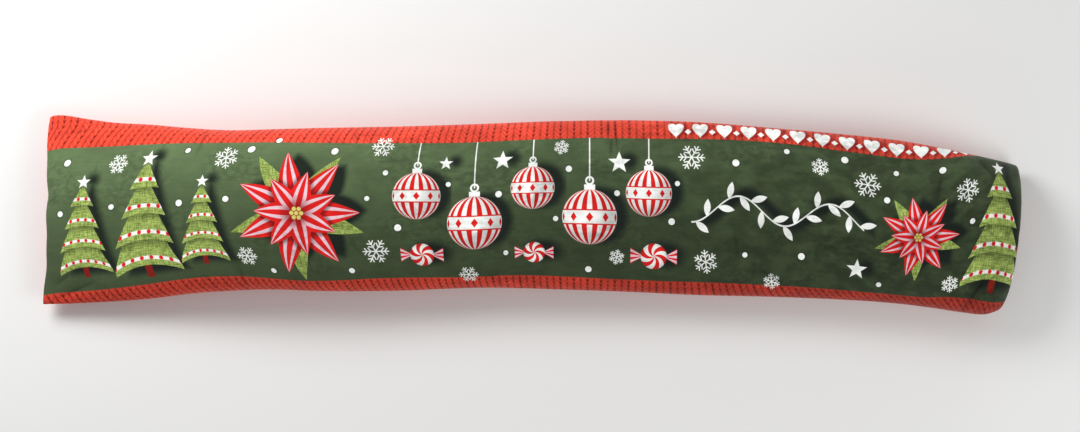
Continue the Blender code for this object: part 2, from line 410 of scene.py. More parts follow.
def section_points(section):
    """The ring's points: over the crown from far to near, then back under the base."""
    half_width = (section.far - section.near) / 2
    side = SIDE_SHARE * section.thick
    y, z = half_outline(half_width, section.thick - side, CROWN_POWER)
    crown_y, crown_z = evenly_spaced(y, z + side, HALF)
    y, z = half_outline(half_width, side * BASE_SINK, BASE_POWER)
    base_y, base_z = evenly_spaced(y, np.maximum(side - z, 0.0), HALF)
    y = np.concatenate([crown_y, base_y[-2:0:-1]])
    z = np.concatenate([crown_z, base_z[-2:0:-1]])
    share = y / half_width
    x = section.along + section.slant / 2 * share
    x = x + section.lean * (z - side) / (section.thick - side)
    y = y + (section.far + section.near) / 2
    z = z + section.lift + section.arch * (1 - share**2)
    return np.stack([x, y, np.maximum(z, 0.0)], axis=1)


def trough_depth(troughs, x, y):
    """How deep the face is pressed in at each point, seen from above."""
    depth = np.zeros_like(x)
    for trough in troughs:
        turn = math.radians(trough.turn)
        dx, dy = x - trough.x, y - trough.y
        down = (dx * math.cos(turn) + dy * math.sin(turn)) / trough.length
        across = (dy * math.cos(turn) - dx * math.sin(turn)) / trough.width
        depth += trough.depth * np.exp(-(down**2) - across**2)
    return depth


def press_troughs(points, section):
    """Sinks the crown's points into the filling, but not the sides."""
    crown = points[: HALF + 1]
    across = np.cos(np.linspace(0.0, math.pi, len(crown)))
    depth = np.minimum(trough_depth(TROUGHS, crown[:, 0], crown[:, 1]), section.thick / 4)
    crown[:, 2] -= depth * (1 - across**4)
    return points


def puckers(run, across, phase):
    """Small gathers that a seam pulls into the cloth beside it."""
    fade = np.exp(-((run / PUCKER_REACH) ** 2))
    waves = [
        math.sin(2 * math.pi * across / pitch + phase * (k + PUCKER_SHIFT))
        for k, pitch in enumerate(PUCKER_PITCHES)
    ]
    return PUCKER_DEPTH * fade * sum(waves) / len(waves)


def drawn_in(end, run, across):
    """How far the cloth at an end is drawn in: the seam wavers, and its near corner stands out."""
    short = math.sin(across / SHORT_WAVER + end.phase)
    long = math.sin(across / LONG_WAVER + 2 * end.phase)
    waver = SEAM_WAVER * (short + long)
    corner = end.corner * math.exp(-((across / CORNER_REACH) ** 2))
    ear = end.ear * math.exp(-(((GIRTH / 2 - across) / EAR_REACH) ** 2))
    close, wide = math.exp(-((run / CORNER_REACH) ** 2)), math.exp(-((run / EAR_REACH) ** 2))
    return (waver + corner) * close - ear * wide


def tube_points():
    """The whole cloth as rings of points, and how far along the crown each ring lies."""
    sections = all_sections()
    rings = np.array([press_troughs(section_points(s), s) for s in sections])
    crown = rings[:, CROWN_STEP]
    run = np.concatenate([[0.0], np.cumsum(np.linalg.norm(np.diff(crown, axis=0), axis=1))])
    middle = np.interp(0.0, crown[:, 0], run)
    for index, ring in enumerate(rings):
        for end, inwards, from_seam in zip(ENDS, (1, -1), (run[index], run[-1] - run[index])):
            for step in range(AROUND):
                across = GIRTH * min(step, AROUND - step) / AROUND
                side = 1 if step <= HALF else -1
                ring[step, 2] += side * puckers(from_seam, across, end.phase)
                ring[step, 0] += inwards * drawn_in(end, from_seam, across)
    rings[:, :, 2] = np.maximum(rings[:, :, 2], 0.0)
    return rings, run - middle


def print_lies(run):
    """The print's lie at each ring of the cloth."""
    table = np.array(PRINT_LIE)
    columns = [smooth(table[:, 0], table[:, k], run) for k in range(table.shape[1])]
    return [Lie(*row) for row in np.stack(columns, axis=1)]


def flat_widths(ring):
    """How far each step of a ring lies from the crown's middle along the cloth, far side first."""
    crown = ring[: HALF + 1]
    length = np.linalg.norm(np.diff(crown, axis=0), axis=1).sum()
    steps = np.arange(BACK_STEP - AROUND, BACK_STEP + 1)
    knots = (BACK_STEP - AROUND, 0, HALF, BACK_STEP)
    widths = np.interp(steps, knots, (GIRTH / 2, length / 2, -length / 2, -GIRTH / 2))
    return dict(zip(steps, widths))


def cloth_mesh(rings, run):
    """The cover's grid, with its print laid on as a UV map in metres of flat cloth."""
    lies = print_lies(run)
    widths = [flat_widths(ring) for ring in rings]
    mesh = bmesh.new()
    back_seam = mesh.verts.layers.float.new("back_seam")
    grid = []
    for index, ring in enumerate(rings):
        if index in (0, len(rings) - 1):
            seam = [(ring[step] + ring[-step % AROUND]) / 2 for step in range(HALF + 1)]
            row = [mesh.verts.new(point * MM) for point in seam]
            grid.append(row + row[HALF - 1 : 0 : -1])
        else:
            grid.append([mesh.verts.new(point * MM) for point in ring])
            grid[-1][BACK_STEP][back_seam] = 1.0
    layer = mesh.loops.layers.uv.new("flat_cloth")

    def flat_place(index, step):
        """The place on the flat cloth of a ring's point, with the panel's middle at V = 0."""
        lie = lies[index]
        across = widths[index][step] / lie.stretch + lie.roll
        reach = min(abs(across) / DRAG_REACH, 1.0)
        return run[index] - lie.drag * reach**DRAG_POWER, across

    for index in range(len(grid) - 1):
        for step in range(AROUND):
            first = step if step < BACK_STEP else step - AROUND
            steps = (first, first + 1)
            corners = [(index, s) for s in steps] + [(index + 1, s) for s in reversed(steps)]
            face = mesh.faces.new([grid[i][s % AROUND] for i, s in corners])
            for loop, (i, s) in zip(face.loops, corners):
                u, v = flat_place(i, s)
                loop[layer].uv = (u * MM, v * MM)
            face.smooth = True
    bmesh.ops.recalc_face_normals(mesh, faces=mesh.faces)
    data = bpy.data.meshes.new("cloth_cover")
    mesh.to_mesh(data)
    mesh.free()
    return data


def numbers_of(data, name, width=1):
    """One property of every row of a mesh's data, as an array."""
    flat = np.empty(len(data) * width)
    data.foreach_get(name, flat)
    return flat.reshape(-1, width) if width > 1 else flat


def points_of(mesh):
    """All corners of a mesh."""
    return numbers_of(mesh.vertices, "co", 3)


def set_points(mesh, points):
    """Moves all corners of a mesh."""
    mesh.vertices.foreach_set("co", points.ravel())
    mesh.update()


def flat_cut(rings, run):
    """Where each point lies in the flat, doubled cloth before it is filled."""
    rows = []
    for index in range(len(rings)):
        at_seam = index in (0, len(rings) - 1)
        for step in range(HALF + 1 if at_seam else AROUND):
            folded = GIRTH / 2 * (abs(HALF - step) / HALF - 0.5)
            layer = FLAT_LAYER if 0 < step < HALF else -FLAT_LAYER
            rows.append((run[index], folded, 0.0 if at_seam else layer))
    return np.array(rows) * MM


def worked_out(cover):
    """A new mesh: the cover's, with its modifiers worked out."""
    graph = bpy.context.evaluated_depsgraph_get()
    return bpy.data.meshes.new_from_object(cover.evaluated_get(graph))


def take_mesh(cover, mesh):
    """Gives the cover a worked-out mesh in place of its own one and its modifiers."""
    old = cover.data
    cover.modifiers.clear()
    cover.data = mesh
    bpy.data.meshes.remove(old)
    mesh.name = "cloth_cover"


def settle(cover, flat_points):
    """Lets the cloth find its own small creases over the filling, and keeps the result."""
    shaped = points_of(cover.data)
    cover.shape_key_add(name="shaped")
    cut = cover.shape_key_add(name="flat_cut")
    cut.data.foreach_set("co", flat_points.ravel())
    cut.value = 0.0
    hold = cover.vertex_groups.new(name="hold")
    for index, point in enumerate(shaped):
        resting = point[2] < REST_HEIGHT * MM
        hold.add([index], REST_HOLD if resting else SETTLE_HOLD, "REPLACE")
    modifier = cover.modifiers.new("settling", "CLOTH")
    cloth = modifier.settings
    cloth.rest_shape_key = cut
    cloth.vertex_group_mass = "hold"
    for name, value in SETTLE_SETTINGS.items():
        setattr(cloth, name, value)
    cloth.effector_weights.gravity = 0.0
    modifier.point_cache.frame_start = 1
    modifier.point_cache.frame_end = SETTLE_FRAMES
    scene = bpy.context.scene
    for at in range(1, SETTLE_FRAMES + 1):
        scene.frame_set(at)
    settled = worked_out(cover)
    moved = points_of(settled) - shaped
    scene.frame_set(1)
    length = np.linalg.norm(moved, axis=1, keepdims=True)
    moved *= np.minimum(1.0, MOST_SETTLING * MM / np.maximum(length, TINY))
    points = shaped + moved
    points[:, 2] = np.maximum(points[:, 2], 0.0)
    set_points(settled, points)
    cover.shape_key_clear()
    cover.vertex_groups.clear()
    take_mesh(cover, settled)


def finer(cover):
    """Subdivides the cloth smoothly, and keeps the result."""
    rounding = cover.modifiers.new("rounding", "SUBSURF")
    rounding.levels = SMOOTHING
    take_mesh(cover, worked_out(cover))
    cover.data.shade_smooth()


def press_creases(cover):
    """Sinks the small creases and the back seam into the fine cloth, and stores the brushed pile's
    tone with painted shade along the back seam.
    """
    mesh = cover.data
    points = points_of(mesh)
    normals = numbers_of(mesh.vertices, "normal", 3)
    seam = numbers_of(mesh.attributes["back_seam"].data, "value") ** BACK_SEAM_SHARPNESS
    x, y = points[:, 0] / MM, points[:, 1] / MM
    on_face = normals[:, 2] > 0
    depth = trough_depth(CREASES, x, y) * on_face
    pucker = 1 + sum(share * np.sin(x / run) for share, run in BACK_SEAM_PUCKERS)
    sunk = (depth + BACK_SEAM_DEPTH * seam * pucker) * MM
    set_points(mesh, points - normals * sunk[:, None])
    # Painted shade along the back seam's line, added to the brushed pile's smudges, which are
    # partly painted shade in creases.
    shade = trough_depth(SMUDGES, x, y) * on_face + seam * BACK_SEAM_SHADE
    brushed_and_painted_shade = mesh.attributes.new("brushed_and_painted_shade", "FLOAT", "POINT")
    brushed_and_painted_shade.data.foreach_set("value", np.clip(1.0 - shade, *BRUSHED_AND_SHADE_TONES))


def make_cover():
    """The cloth cover, settled over its filling and creased."""
    rings, run = tube_points()
    cover = bpy.data.objects.new("cloth_cover", cloth_mesh(rings, run))
    bpy.context.scene.collection.objects.link(cover)
    settle(cover, flat_cut(rings, run))
    finer(cover)
    press_creases(cover)
    return cover


# ---- The material's nodes, written as sums ----


class Wire:
    """A number, a place or a colour that the nodes work out at each point of the cloth."""

    tree = None  # the node tree that new wires go into

    def __init__(self, socket):
        self.socket = socket

    def __add__(self, other):
        return sum_of("ADD", self, other)

    def __sub__(self, other):
        return sum_of("SUBTRACT", self, other)

    def __rsub__(self, other):
        return sum_of("SUBTRACT", other, self)

    def __mul__(self, other):
        return sum_of("MULTIPLY", self, other)

    def __truediv__(self, other):
        return sum_of("DIVIDE", self, other)

    def __abs__(self):
        return sum_of("ABSOLUTE", self)


def add_node(kind, feeds, **settings):
    """A new node with its settings, each socket fed by a wire or set to a plain value."""
    node = Wire.tree.nodes.new(kind)
    for name, value in settings.items():
        setattr(node, name, value)
    for socket, feed in feeds.items():
        if isinstance(feed, Wire):
            Wire.tree.links.new(feed.socket, node.inputs[socket])
        else:
            node.inputs[socket].default_value = feed
    return node


def sum_of(operation, *terms):
    """A sum with plain numbers or wires as its terms."""
    node = add_node("ShaderNodeMath", dict(enumerate(terms)), operation=operation)
    return Wire(node.outputs[0])


def least(*terms):
    """The smallest term, which joins shapes by their distances."""
    return reduce(partial(sum_of, "MINIMUM"), terms)


def most(*terms):
    """The greatest term, which leaves what shapes have in common."""
    return reduce(partial(sum_of, "MAXIMUM"), terms)


def reach_of(x, y):
    """The distance of (x, y) from the origin."""
    return sum_of("SQRT", x * x + y * y)


def waves(value, pitch):
    """0 at every whole pitch, rising evenly to 1 half-way between."""
    return sum_of("PINGPONG", value, pitch / 2) * (2 / pitch)


def beyond(value, start, end):
    """How far a value lies beyond two ends, and negative between them."""
    return abs(value - (start + end) / 2) - (end - start) / 2


def within(value, middle, margin):
    """1 where a value lies within a margin of the middle, and else 0."""
    return sum_of("COMPARE", value, middle, margin)


def ramp(value, low, high, start=0.0, end=1.0):
    """Eases from start to end while the value goes from low to high."""
    feeds = {"Value": value, "From Min": low, "From Max": high, "To Min": start, "To Max": end}
    node = add_node("ShaderNodeMapRange", feeds, interpolation_type="SMOOTHSTEP")
    return Wire(node.outputs["Result"])


def inside(distance, blur=0.35):
    """1 where a distance to an edge is negative, fading out over the blur either side of it."""
    return ramp(distance, -blur, blur, 1.0, 0.0)


def parts_of(place):
    """The three numbers of a place."""
    node = add_node("ShaderNodeSeparateXYZ", {0: place})
    return [Wire(socket) for socket in node.outputs]


def place_sum(operation, first, second, output="Vector"):
    """A sum with two places, whose result is a place or a "Value"."""
    node = add_node("ShaderNodeVectorMath", {0: first, 1: second}, operation=operation)
    return Wire(node.outputs[output])


def scaled(place, factor):
    """A place or a colour times a number."""
    node = add_node("ShaderNodeVectorMath", {0: place, "Scale": factor}, operation="SCALE")
    return Wire(node.outputs["Vector"])


def noise(place, stretch, detail=1.0):
    """Soft random numbers round 0.5; "stretch" is how many of its blobs fit a millimetre."""
    spread = place_sum("MULTIPLY", place, (*stretch, 1.0))
    feeds = {"Vector": spread, "Scale": 1.0, "Detail": detail, "Roughness": 0.55}
    node = add_node("ShaderNodeTexNoise", feeds, noise_dimensions="2D")
    return Wire(node.outputs[0])


def painted(below, colour, cover):
    """One colour laid over another, where "cover" is 1."""
    feeds = {"Factor": cover, "A": below, "B": colour}
    node = add_node("ShaderNodeMix", feeds, data_type="RGBA")
    return Wire(node.outputs["Result"])


def ink(red, green, blue):
    """An ink by its numbers on a screen, 0 to 255, as the colour that the nodes use."""
    parts = [part / 255 for part in (red, green, blue)]
    linear = [p / 12.92 if p <= 0.04045 else ((p + 0.055) / 1.055) ** 2.4 for p in parts]
    return (*linear, 1.0)


PANEL_GREEN = ink(84, 100, 70)
SHADOW_INK = ink(24, 34, 30)
KNIT_LIT = ink(220, 76, 56)
KNIT_GLOW = ink(232, 96, 74)
KNIT_DARK = ink(138, 32, 20)
LINEN_LIGHT = ink(182, 200, 116)
LINEN_DARK = ink(118, 141, 67)
PAPER_WHITE = ink(248, 250, 246)
RIBBON_RED = ink(224, 38, 36)
DEEP_RED = ink(148, 16, 20)
PETAL_PINK = ink(236, 205, 214)
BERRY_YELLOW = ink(214, 208, 120)


def own_frame(place, u, stamps, spread, by_distance=False):
    """Each point's place from the stamp that it belongs to, and the stamp's size.

    The place is in shares of that size. A point belongs to a stamp within "spread" sizes of it,
    counted along the cloth or all round, and every other point lies far away from any motif.
    """
    home = (FAR_AWAY, FAR_AWAY, 1.0)
    for stamp in stamps:
        if by_distance:
            apart = place_sum("DISTANCE", place, (stamp.u, stamp.v, 0.0), "Value")
            near = sum_of("LESS_THAN", apart, spread * stamp.size)
        else:
            near = within(u, stamp.u, spread * stamp.size)
        shift = scaled((stamp.u - FAR_AWAY, stamp.v - FAR_AWAY, stamp.size - 1.0), near)
        home = place_sum("ADD", home, shift)
    x, y, below = parts_of(place_sum("SUBTRACT", place, home))
    size = 0.0 - below
    return x / size, y / size, size


def folded_place(reach, angle, count):
    """A place folded into half of one of "count" slices of a wheel: along its spoke, and aside."""
    turn = sum_of("PINGPONG", angle, math.pi / count)
    return reach * sum_of("COSINE", turn), reach * sum_of("SINE", turn)


def linen(place):
    """Coarse woven threads both ways, each uneven along its length."""
    threads = noise(place, (1.3, 0.12)) + noise(place, (0.12, 1.3))
    return painted(LINEN_DARK, LINEN_LIGHT, ramp(threads, 0.72, 1.25))


def knit_look(place, u, v):
    """The printed look of knitting: columns of V-shaped stitches, which lean on the near side."""
    lean = most(0.0 - v - PANEL_HALF, 0.0) * ramp(u, *STITCH_LEAN)
    half = waves(u - lean, STITCH_WIDE)
    leg = sum_of("FRACT", v / STITCH_HIGH - half * STITCH_RISE)
    gap = abs(leg - 0.5) * 2.0
    uneven = ramp(noise(place, (0.11, 0.16)), 0.3, 0.7, 0.7, 1.2)
    groove = ramp(gap, 0.5, 1.0) * 0.13
    column = ramp(half, 0.0, 0.26, 0.46, 0.0) + ramp(half, 0.74, 1.0, 0.0, 0.44)
    hole = ramp(half, 0.0, 0.3, 1.0, 0.0) * ramp(gap, 0.3, 0.9) * 0.55
    # Painted shade: the printed stitch marks are made darker near the fold where the near band
    # turns under.
    bold = ramp(abs(v - NEAR_FOLD), *STITCH_BOLDNESS)
    dark = least((groove + column + hole) * uneven * bold, 1.0)
    yarn = painted(KNIT_LIT, KNIT_GLOW, ramp(gap, 0.0, 0.6, 0.5, 0.0))
    return painted(yarn, KNIT_DARK, dark)


def ground(place, u, v):
    """The green panel and its knit-look bands, with painted shade that darkens them towards one
    end and the near side, painted light on the far side, and blotches where the pile is crushed.
    """
    # Painted light and shade: lift lightens the panel's far side and darkens its near side, and
    # the tone along it darkens it towards one end.
    lift = ramp(v, *PANEL_SHADE_ACROSS) * ramp(u, *PANEL_SHADE_FADE) + 1.0
    crushed = ramp(noise(place, (0.05, 0.08), 3.0), *CRUSHED_TONES) * ramp(u, *CRUSHED_ALONG) + 1.0
    green = scaled(PANEL_GREEN[:3], lift * crushed * ramp(u, *PANEL_SHADE_ALONG))
    # Painted shade: the near band is made darker than the far band, both darken towards one end,
    # and the back takes the mean of the two.
    far_share = ramp(v, *BANDS_SHADE_ACROSS) * ramp(abs(v), *BACK_SHADE_ACROSS) + 0.5
    far_band_shade, near_band_shade = ramp(u, *FAR_BAND_SHADE_ALONG), ramp(u, *NEAR_BAND_SHADE_ALONG)
    knit = scaled(knit_look(place, u, v), near_band_shade + (far_band_shade - near_band_shade) * far_share)
    return painted(green, knit, inside(PANEL_HALF - abs(v), 0.25))


# In the drawings below, plain numbers are shares of the motif's own size, or else tones, radians
# or millimetres.


def tree_tiers(y):
    """How many tiers up a fir a height is, its share of its own tier, and the half width there."""
    tier = (y - TIERS_FOOT) * (TIERS / (1 - TIERS_FOOT))
    share = sum_of("FRACT", tier)
    return tier, share, 0.325 - tier * 0.065 - share * 0.065


def draw_trees(colour, place, u):
    """Fir trees of linen with drooping tiers, and a beaded swag round each tier."""
    x, y, size = own_frame(place, u, TREES, 0.3)
    side = abs(x)
    trunk = most(side - 0.03, abs(y - 0.06) - 0.07) * size
    colour = painted(colour, KNIT_DARK, inside(trunk))
    droop = y + x * x * 0.9
    tier, share, half_width = tree_tiers(droop)
    outline = most(side - half_width, (abs(tier - TIERS / 2) - TIERS / 2) * 0.2) * size
    leaf = scaled(linen(place), ramp(share, 0.6, 1.0, 1.0, 0.52))
    swag = abs(share - 0.3)
    leaf = painted(leaf, PAPER_WHITE, ramp(swag, 0.05, 0.09, 1.0, 0.0))
    bead = reach_of(waves(x + 0.04, 0.085) * 0.0425, swag * 0.22)
    leaf = painted(leaf, RIBBON_RED, ramp(bead, 0.014, 0.022, 1.0, 0.0))
    return painted(colour, leaf, inside(outline))


def petal_ring(reach, angle, count, length, width):
    """A ring of pointed petals: the distance to their edge, and where a point lies in its own."""
    outwards, side = folded_place(reach, angle, count)
    along = outwards / length
    half_width = sum_of("SQRT", along) * (1.0 - along) * (2.6 * width)
    return side - half_width, side / half_width, along


def petal_colour(across, along):
    """A petal striped like ribbon, pink between a red rim and a red rib, and dark at its root."""
    stripe = ramp(abs(across - 0.42), 0.13, 0.2, 1.0, 0.0)
    colour = painted(RIBBON_RED, PETAL_PINK, stripe)
    return painted(DEEP_RED, colour, ramp(along, 0.05, 0.5))


def draw_flowers(colour, place, u):
    """Flowers with two rings of striped petals over linen leaves, round a clump of berries."""
    x, y, size = own_frame(place, u, FLOWERS, 1.12)
    reach = reach_of(x, y)
    angle = sum_of("ARCTAN2", y, x)
    edge, across, along = petal_ring(reach, angle + 0.3, LEAVES, 1.08, 0.17)
    leaf = scaled(linen(place), ramp(across, 0.0, 0.12, 0.6, 1.0))
    colour = painted(colour, leaf, inside(edge * size))
    edge, across, along = petal_ring(reach, angle, PETALS, 0.98, 0.2)
    petal = petal_colour(across, along)
    front_angle = angle + math.pi / PETALS
    front_edge, front_across, front_along = petal_ring(reach, front_angle, PETALS, 0.66, 0.17)
    petal = scaled(petal, ramp(front_edge, 0.0, 0.1, 0.35, 1.0))
    colour = painted(colour, petal, inside(edge * size))
    petal = petal_colour(front_across, front_along)
    colour = painted(colour, petal, inside(front_edge * size))
    outwards, side = folded_place(reach, angle, BERRIES)
    berry = least(reach_of(outwards - 0.075, side), reach)
    return painted(colour, BERRY_YELLOW, inside((berry - 0.033) * size))


def draw_baubles(colour, place, u, v):
    """Striped balls with a belt of diamonds, each hung by a string from the panel's far edge."""
    x, y, size = own_frame(place, u, BAUBLES, 1.05)
    string = most(abs(x * size) - 0.55, (1.3 - y) * size, v - PANEL_HALF)
    colour = painted(colour, PAPER_WHITE, inside(string))
    loop = abs(reach_of(x, y - 1.32) - 0.13) - 0.035
    cap = most(abs(x) - 0.2, abs(y - 1.05) - 0.13)
    colour = painted(colour, PAPER_WHITE, inside(least(loop, cap) * size))
    reach = reach_of(x, y)
    round_side = sum_of("SQRT", 1.0 - y * y)
    turn = sum_of("ARCSINE", x / round_side) * (BAUBLE_STRIPES / math.pi)
    stripe = ramp(waves(turn, 1.0), 0.42, 0.58)
    ball = painted(PAPER_WHITE, RIBBON_RED, stripe)
    belt = abs(y)
    ball = painted(ball, RIBBON_RED, ramp(belt, 0.27, 0.3, 1.0, 0.0))
    ball = painted(ball, PAPER_WHITE, ramp(belt, 0.22, 0.25, 1.0, 0.0))
    diamond = waves(turn, 1.5) * 0.4 + belt
    ball = painted(ball, RIBBON_RED, ramp(diamond, 0.15, 0.19, 1.0, 0.0))
    shine = reach_of(x + 0.3, y - 0.35)
    ball = scaled(ball, ramp(shine, 0.35, 1.35, 1.04, 0.62))
    return painted(colour, ball, inside((reach - 1.0) * size))


def draw_sweets(colour, place, u):
    """Round sweets with a swirl of stripes, in paper that is twisted at both sides."""
    x, y, size = own_frame(place, u, SWEETS, 1.95, by_distance=True)
    side = abs(x)
    twist = most(abs(y) - 0.14 - (side - 1.0) * 0.62, 0.9 - side, side - 1.78)
    pleat = waves(y / (side - 0.75), 0.42)
    paper = painted(PETAL_PINK, RIBBON_RED, ramp(pleat, 0.45, 0.62))
    colour = painted(colour, paper, inside(twist * size))
    reach = reach_of(x, y)
    angle = sum_of("ARCTAN2", y, x) + reach * 0.9
    swirl = ramp(waves(angle, 2 * math.pi / SWEET_STRIPES), 0.42, 0.56)
    disc = painted(PAPER_WHITE, RIBBON_RED, swirl)
    disc = scaled(disc, ramp(reach, 0.7, 1.0, 1.0, 0.74))
    return painted(colour, disc, inside((reach - 1.0) * size))


def draw_stars(colour, place, u):
    """Five-pointed stars: the distance is to the line from a point to the corner beside it."""
    x, y, size = own_frame(place, u, STARS, 1.3, by_distance=True)
    along, side = folded_place(reach_of(x, y), sum_of("ARCTAN2", x, y), STAR_POINTS)
    corner = math.pi / STAR_POINTS
    corner_along, corner_side = STAR_WAIST * math.cos(corner), STAR_WAIST * math.sin(corner)
    edge = math.hypot(1 - corner_along, corner_side)
    away = (along - 1.0) * (corner_side / edge) + side * ((1 - corner_along) / edge)
    return painted(colour, PAPER_WHITE, inside(away * size))


def draw_crystals(colour, place, u):
    """Arms with two pairs of branches each, turned further where the crystal is bigger."""
    x, y, size = own_frame(place, u, CRYSTALS, 1.2, by_distance=True)
    angle = sum_of("ARCTAN2", y, x) + size * 0.7
    along, side = folded_place(reach_of(x, y), angle, CRYSTAL_ARMS)
    thick = sum_of("DIVIDE", 0.33, size) + 0.016
    stroke = most(side, along - 0.97)
    spread = math.radians(52)
    off_line = along * math.sin(spread) - side * math.cos(spread)
    up_line = along * math.cos(spread) + side * math.sin(spread)
    for start, length in ((0.38, 0.34), (0.66, 0.3)):
        off = abs(off_line - start * math.sin(spread))
        up = up_line - start * math.cos(spread)
        stroke = least(stroke, most(off, up - length, 0.0 - up))
    return painted(colour, PAPER_WHITE, inside((stroke - thick) * size, 0.3))


def draw_dots(colour, place):
    """White dots, each with a narrow dark rim."""
    nearest = FAR_AWAY
    for u, v, radius in DOTS:
        apart = place_sum("DISTANCE", place, (u, v, 0.0), "Value")
        nearest = least(nearest, apart - radius)
    colour = scaled(colour, ramp(nearest, 0.0, 2.2, 0.72, 1.0))
    return painted(colour, PAPER_WHITE, inside(nearest))


def stem_wave(kind, u):
    """The garland's wave, from the "SINE" or the "COSINE" of how far along it is."""
    return sum_of(kind, u * (2 * math.pi / GARLAND_WAVE)) * GARLAND_SWING


def stem_height(u):
    """How high the garland's wavy stem runs."""
    return stem_wave("SINE", u) + GARLAND_MIDDLE


def leaf_edge(u, v, start, tilt):
    """The distance to a row of pointed leaves, each at a tilt to the stem where it grows."""
    foot = sum_of("FLOOR", (u - start + LEAF_ROOM) / LEAF_PITCH) * LEAF_PITCH + start
    slope = stem_wave("COSINE", foot) * (2 * math.pi / GARLAND_WAVE)
    turn = sum_of("ARCTANGENT", slope) + tilt
    forwards, up = u - foot, v - stem_height(foot)
    ahead, aside = sum_of("COSINE", turn), sum_of("SINE", turn)
    share = (forwards * ahead + up * aside) / LEAF_LENGTH
    side = abs(up * ahead - forwards * aside)
    leaf = side - share * (1.0 - share) * (4 * LEAF_WIDTH)
    return most(leaf, beyond(foot, *GARLAND_ENDS))


def draw_garland(colour, u, v):
    """The white stem and its leaves."""
    upper = leaf_edge(u, v, 0.0, LEAF_TILT)
    lower = leaf_edge(u, v, LEAF_PITCH / 2, -LEAF_TILT)
    stem = most(abs(v - stem_height(u)) - STEM_HALF, beyond(u, *GARLAND_ENDS))
    return painted(colour, PAPER_WHITE, inside(least(stem, upper, lower)))


def hearts_edge(u, v):
    """The distance to a row of hearts on the far band, with a small diamond between each two."""
    side = abs(sum_of("WRAP", u, HEART_PITCH / 2, -HEART_PITCH / 2)) * (1 / HEART_SIZE)
    up = (v - HEARTS_UP) * (1 / HEART_SIZE)
    bow = up - sum_of("SQRT", side) * 0.72
    heart = (side * side + bow * bow - 0.62) * (HEART_SIZE / 2)
    between = HEART_PITCH / 2 / HEART_SIZE
    diamond = (abs(side - between) + abs(up) - 0.34) * HEART_SIZE
    return most(least(heart, diamond), beyond(u, *HEARTS_ENDS))


def draw_hearts(colour, u, v):
    """White hearts and diamonds over their own soft, dark red shadows."""
    along, up = HEART_SHADOW_SHIFT
    shadow = ramp(hearts_edge(u - along, v - up), *HEART_SHADOW)
    colour = painted(colour, DEEP_RED, shadow)
    return painted(colour, PAPER_WHITE, inside(hearts_edge(u, v)))


def cast_shadows(colour, place):
    """The soft dark shape that the print shows beside each large motif."""
    place = place_sum("SUBTRACT", place, (*SHADOW_SHIFT, 0.0))
    u, v = parts_of(place)[:2]
    x, y, size = own_frame(place, u, TREES, 0.3)
    nearest = most(abs(x) - 0.26 + y * 0.26, 0.02 - y) * size
    x, y, size = own_frame(place, u, FLOWERS, 1.2)
    folded = sum_of("PINGPONG", sum_of("ARCTAN2", y, x), math.pi / PETALS)
    nearest = least(nearest, (reach_of(x, y) - 0.9 + folded * 0.75) * size)
    x, y, size = own_frame(place, u, BAUBLES, 1.2)
    nearest = least(nearest, (reach_of(x, y) - 0.98) * size)
    x, y, size = own_frame(place, u, SWEETS, 2.2, by_distance=True)
    nearest = least(nearest, (reach_of(x * 0.6, y) - 0.85) * size)
    x, y, size = own_frame(place, u, STARS, 1.6, by_distance=True)
    nearest = least(nearest, (reach_of(x, y) - 0.6) * size)
    stem = most(abs(v - stem_height(u)) - 6.0, beyond(u, *GARLAND_ENDS))
    nearest = least(nearest, stem + 1.5)
    depth = ramp(nearest - SHADOW_SPREAD, -SHADOW_BLUR, SHADOW_BLUR, SHADOW_DEPTH, 0.0)
    return painted(colour, SHADOW_INK, depth)


def painted_crease_shade(v):
    """1 on smooth cloth, and less along the bottom of each small crease in the printed face:
    painted shade in the creases.
    """
    spot = Wire(add_node("ShaderNodeTexCoord", {}).outputs["Object"])
    depth = 0.0
    for crease in CREASES:
        turn = math.radians(crease.turn)
        ahead, aside = (math.cos(turn), math.sin(turn)), (-math.sin(turn), math.cos(turn))
        scales = (1 / crease.length, CREASE_SHARPNESS / crease.width)
        reach = 0.0
        for (way_x, way_y), scale in zip((ahead, aside), scales):
            way = (way_x * scale / MM, way_y * scale / MM, 0.0)
            start = (way_x * crease.x + way_y * crease.y) * scale
            off = place_sum("DOT_PRODUCT", spot, way, "Value") - start
            reach = off * off + reach
        depth = sum_of("EXPONENT", 0.0 - reach) * crease.depth + depth
    on_face = inside(abs(v) - GIRTH / 4, 2.0)
    return 1.0 - least(depth * CREASE_SHADE, MOST_CREASE_SHADE) * on_face


def draw_print(place, u, v):
    """The whole print: the ground, and the motifs from the lowest to the topmost."""
    colour = ground(place, u, v)
    colour = cast_shadows(colour, place)
    colour = draw_hearts(colour, u, v)
    colour = draw_garland(colour, u, v)
    colour = draw_trees(colour, place, u)
    colour = draw_flowers(colour, place, u)
    colour = draw_baubles(colour, place, u, v)
    colour = draw_sweets(colour, place, u)
    colour = draw_stars(colour, place, u)
    colour = draw_crystals(colour, place, u)
    return draw_dots(colour, place)


